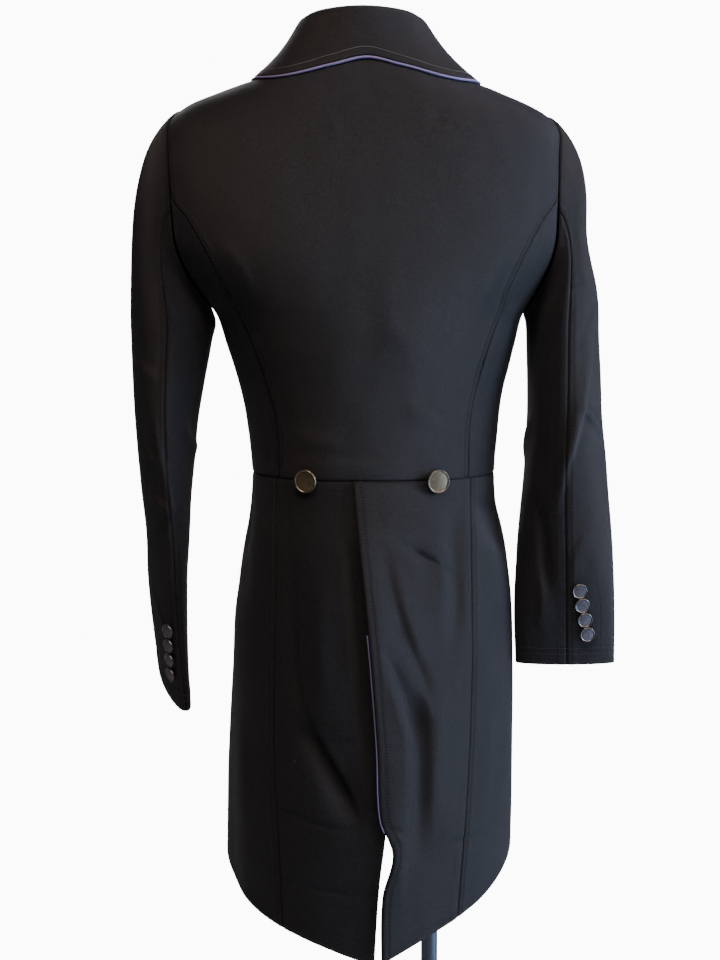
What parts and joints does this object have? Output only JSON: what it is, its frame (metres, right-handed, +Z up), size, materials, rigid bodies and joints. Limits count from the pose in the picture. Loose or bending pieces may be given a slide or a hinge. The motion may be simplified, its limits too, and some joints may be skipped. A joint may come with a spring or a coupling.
{
  "type": "shadbelly on a dress form",
  "caption": "Black tailcoat for dressage, worn on a limbless dress form with a pole and a round base, with open sleeves and long rounded tails.",
  "frame": {"origin": "centre of the stand base's underside, on the pole's axis", "axes": "+Z up along the pole, +Y the coat's front, +X the wearer's right"},
  "size_m": [0.5074, 0.38, 1.4961],
  "materials": {
    "black_twill": "fine stretch twill with a soft sheen",
    "lavender_piping": "satin piping",
    "button_metal": "antique pewter, softly polished",
    "form_cover": "plain linen cover",
    "stand_metal": "blue-grey satin metal"
  },
  "bodies": {
    "root": {"back_centre": "black_twill", "collar": "black_twill", "collar_piping": "lavender_piping", "cuff_button_left_1": "button_metal", "cuff_button_left_2": "button_metal", "cuff_button_left_3": "button_metal", "cuff_button_left_4": "button_metal", "cuff_button_right_1": "button_metal", "cuff_button_right_2": "button_metal", "cuff_button_right_3": "button_metal", "cuff_button_right_4": "button_metal", "form_neck_cap": "stand_metal", "form_torso": "form_cover", "front_button_1": "button_metal", "front_button_2": "button_metal", "front_button_3": "button_metal", "front_button_4": "button_metal", "front_button_5": "button_metal", "front_button_6": "button_metal", "front_left": "black_twill", "front_right": "black_twill", "lapel_left": "black_twill", "lapel_right": "black_twill", "side_back_left": "black_twill", "side_back_right": "black_twill", "sleeve_under_left": "black_twill", "sleeve_under_right": "black_twill", "sleeve_upper_left": "black_twill", "sleeve_upper_right": "black_twill", "stand_base": "stand_metal", "stand_pole": "stand_metal", "tail_back_left": "black_twill", "tail_back_right": "black_twill", "tail_side_left": "black_twill", "tail_side_right": "black_twill", "vent_piping": "lavender_piping", "waist_button_left": "button_metal", "waist_button_right": "button_metal"}
  },
  "joints": []
}
